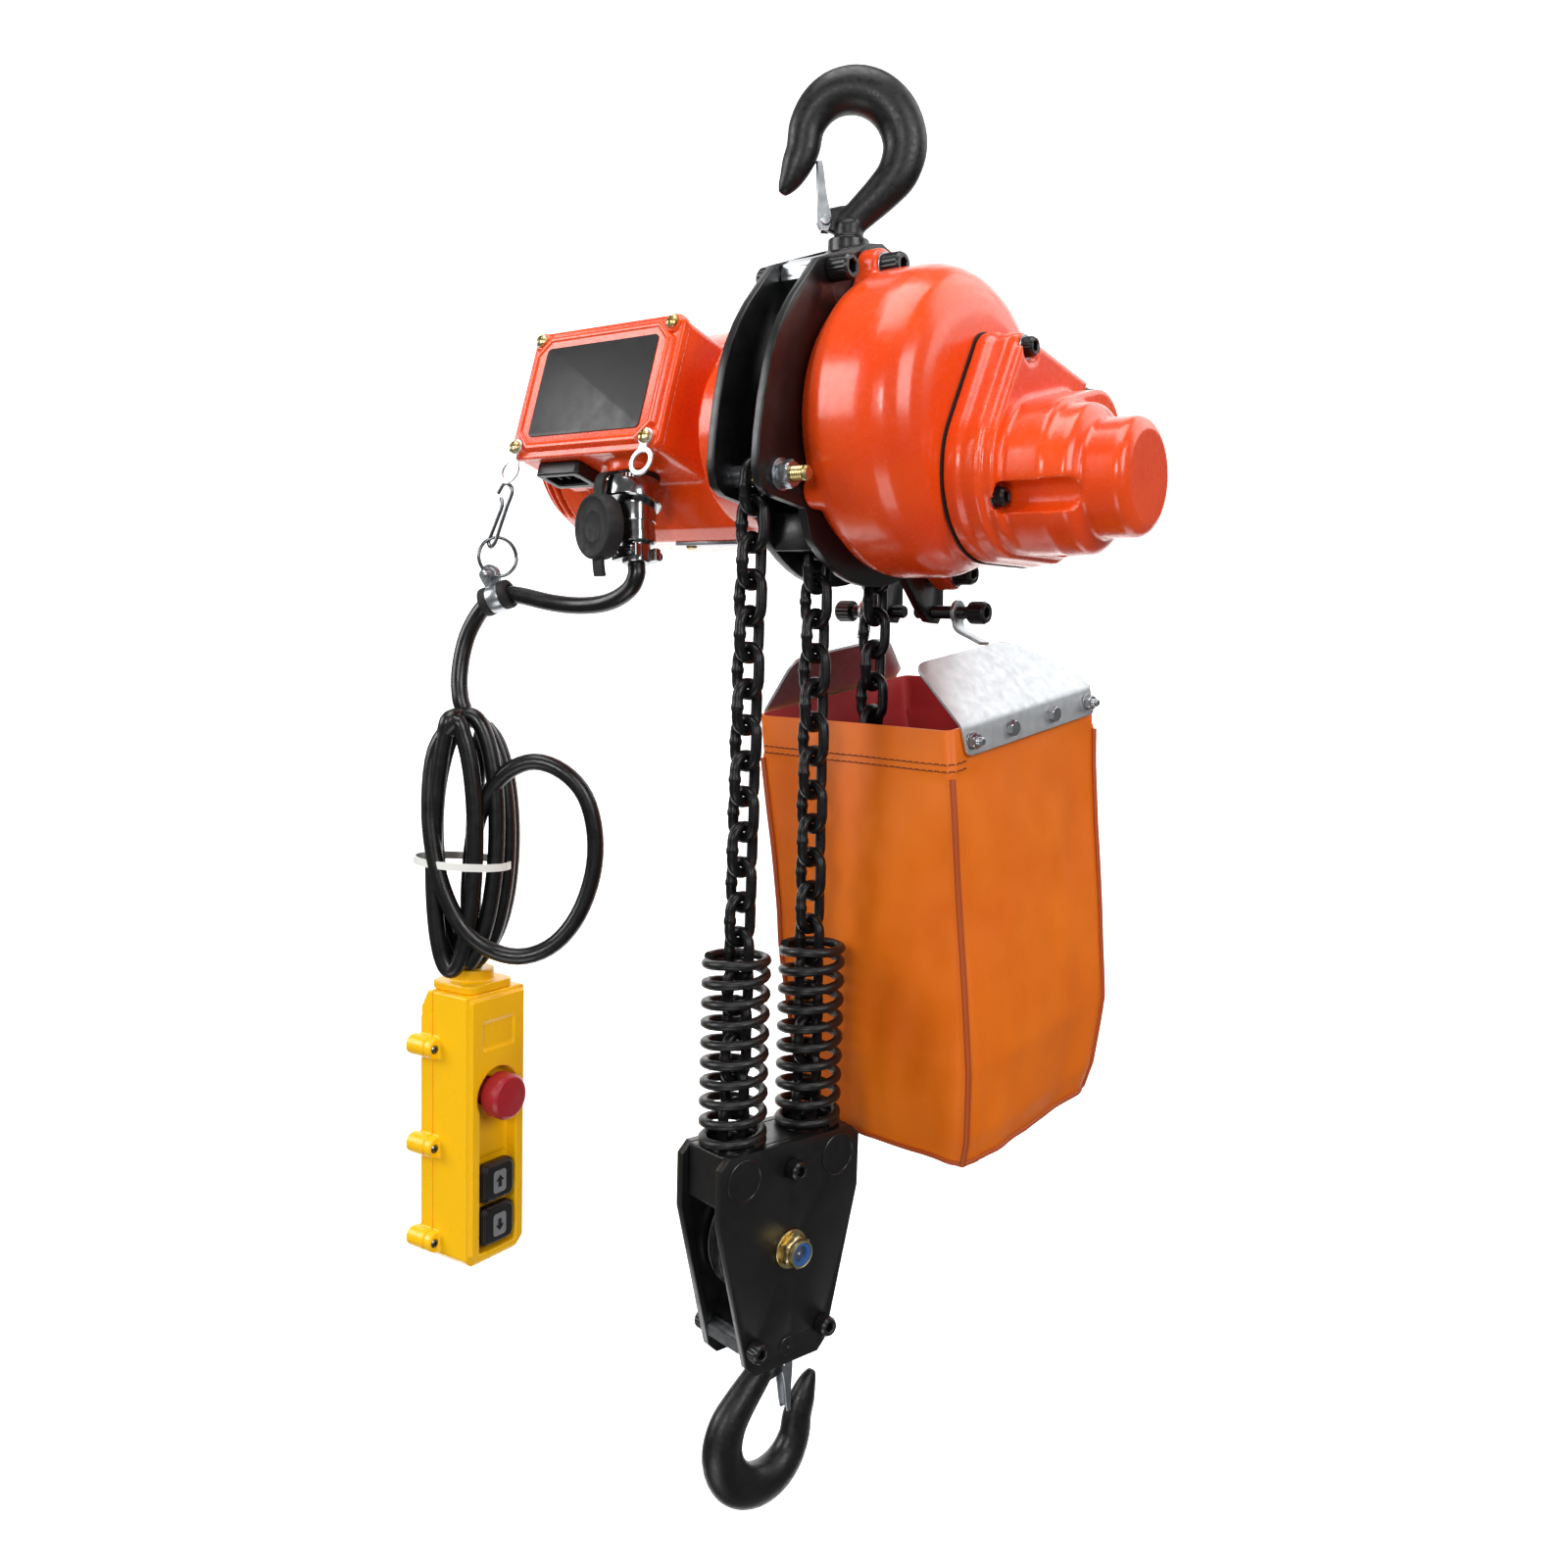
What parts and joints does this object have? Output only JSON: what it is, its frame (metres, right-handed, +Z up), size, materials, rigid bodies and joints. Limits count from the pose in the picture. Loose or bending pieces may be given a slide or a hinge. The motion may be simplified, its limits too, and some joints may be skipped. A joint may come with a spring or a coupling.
{
  "type": "electric chain hoist",
  "caption": "Electric mini hoist on two falls of chain, hung from a safety hook, with a hooked load block, an open chain bag and a pendant control on a stored cable.",
  "frame": {"origin": "the bowl of the top hook, where it rests on whatever carries it", "axes": "+Z up along the line of pull, +X from the motor to the gear case, -Y the side with the control box"},
  "size_m": [0.3958, 0.3001, 0.8068],
  "materials": {
    "casing": "gloss orange-red enamel on die castings",
    "black_steel": "satin black coated steel",
    "zinc": "bright zinc plate",
    "yellow_zinc": "yellow passivated zinc plate",
    "machined": "machined steel",
    "rubber": "black moulded rubber",
    "cable": "smooth black cable sheath",
    "plate": "bare gloss black plate",
    "board": "green board with black relays",
    "black_plastic": "black moulded plastic",
    "tie": "white nylon",
    "yellow_case": "yellow moulded plastic",
    "red_button": "red moulded plastic",
    "bag": "orange coated cloth"
  },
  "bodies": {
    "hook": {"top_hook": "black_steel"},
    "hook_latch": {"top_latch": "zinc"},
    "hoist": {"crosshead": "black_steel", "frame_plate_left": "black_steel", "frame_plate_right": "black_steel", "frame_bolts": "black_steel", "anchor_bolt": "yellow_zinc", "chain_guide": "black_steel", "wheel_bearings": "machined", "stator": "machined", "motor_housing": "casing", "motor_end_cap": "casing", "motor_window": "machined", "gear_housing": "casing", "gear_gasket": "rubber", "gear_cover": "casing", "housing_bolts": "black_steel", "cover_screws": "black_steel", "control_lid": "casing", "lid_screws": "yellow_zinc", "nameplate": "plate", "control_board": "board", "power_inlet": "black_plastic", "connector_socket": "zinc", "connector_plug": "zinc", "cable_gland": "zinc", "dust_cap": "rubber", "cable_hanger": "zinc", "cable_clamp": "rubber", "cable": "cable", "cable_hank": "cable", "hank_tie": "tie", "pendant_front": "yellow_case", "pendant_back": "yellow_case", "pendant_collar": "yellow_case", "pendant_screws": "zinc", "dead_chain": "black_steel", "live_chain": "black_steel", "wheel_chain": "black_steel", "slack_chain": "black_steel", "bag_bolts": "black_steel"},
    "lift_wheel": {"lift_wheel": "machined"},
    "countershaft": {"countershaft": "machined"},
    "rotor": {"rotor": "machined"},
    "stop_button": {"stop_button": "red_button"},
    "up_button": {"up_button": "black_plastic"},
    "down_button": {"down_button": "black_plastic"},
    "bag": {"chain_bag": "bag", "bag_brackets": "zinc"},
    "block": {"block_plates": "black_steel", "block_guide": "black_steel", "buffer_springs": "black_steel", "block_fasteners": "black_steel", "sheave_axle": "yellow_zinc", "sheave_chain": "black_steel", "trunnion": "black_steel"},
    "idle_sheave": {"idle_sheave": "machined"},
    "load_hook": {"load_hook": "black_steel"},
    "load_latch": {"load_latch": "zinc"}
  },
  "joints": [
    {"name": "hoist_swivel", "type": "hinge", "parent": "hook", "child": "hoist", "pos_m": [0, 0, -0.08], "axis": [0, 0, 1], "continuous": true},
    {"name": "hook_latch_hinge", "type": "hinge", "parent": "hook", "child": "hook_latch", "pos_m": [-0.01038, -0.00782, -0.057], "axis": [-0.6018, 0.7986, 0], "range_deg": [0, 36], "stiffness_Nm_per_rad": 0.02, "springref_deg": -17.19},
    {"name": "block_lift", "type": "slide", "parent": "hoist", "child": "block", "axis": [0, 0, 1], "range_m": [0, 0.19], "deforming": ["dead_chain", "live_chain", "wheel_chain"]},
    {"name": "lift_wheel_spin", "type": "hinge", "parent": "hoist", "child": "lift_wheel", "pos_m": [0, 0.009, -0.168], "axis": [1, 0, 0], "range_deg": [-720, 144]},
    {"name": "countershaft_spin", "type": "hinge", "parent": "hoist", "child": "countershaft", "pos_m": [0, 0.01804, -0.20015], "axis": [1, 0, 0], "range_deg": [-443.08, 2215.38]},
    {"name": "rotor_spin", "type": "hinge", "parent": "hoist", "child": "rotor", "pos_m": [0, 0.009, -0.168], "axis": [1, 0, 0], "range_deg": [-8458.73, 1691.75]},
    {"name": "idle_sheave_spin", "type": "hinge", "parent": "block", "child": "idle_sheave", "pos_m": [0, -0.04934, -0.62082], "axis": [0.9781, -0.2079, 0], "range_deg": [-80, 400]},
    {"name": "load_hook_swivel", "type": "hinge", "parent": "block", "child": "load_hook", "pos_m": [0, -0.04934, -0.67752], "axis": [0, 0, 1], "continuous": true},
    {"name": "load_latch_hinge", "type": "hinge", "parent": "load_hook", "child": "load_latch", "pos_m": [0.0027, -0.03663, -0.69782], "axis": [-0.9781, 0.2079, 0], "range_deg": [0, 36], "stiffness_Nm_per_rad": 0.02, "springref_deg": -17.19},
    {"name": "bag_swing", "type": "hinge", "parent": "hoist", "child": "bag", "pos_m": [0, 0.078, -0.267], "axis": [1, 0, 0], "range_deg": [0, 6]},
    {"name": "stop_press", "type": "slide", "parent": "hoist", "child": "stop_button", "axis": [-0.9976, -0.0698, 0], "range_m": [0, 0.005]},
    {"name": "up_press", "type": "slide", "parent": "hoist", "child": "up_button", "axis": [-0.9976, -0.0698, 0], "range_m": [0, 0.003], "stiffness_N_per_m": 400},
    {"name": "down_press", "type": "slide", "parent": "hoist", "child": "down_button", "axis": [-0.9976, -0.0698, 0], "range_m": [0, 0.003], "stiffness_N_per_m": 400}
  ],
  "couplings": [
    {"joint": "lift_wheel_spin", "follows": "block_lift", "rad_per_m": -66.139},
    {"joint": "countershaft_spin", "follows": "block_lift", "rad_per_m": 203.5},
    {"joint": "rotor_spin", "follows": "block_lift", "rad_per_m": -777.01},
    {"joint": "idle_sheave_spin", "follows": "block_lift", "rad_per_m": 36.744}
  ]
}
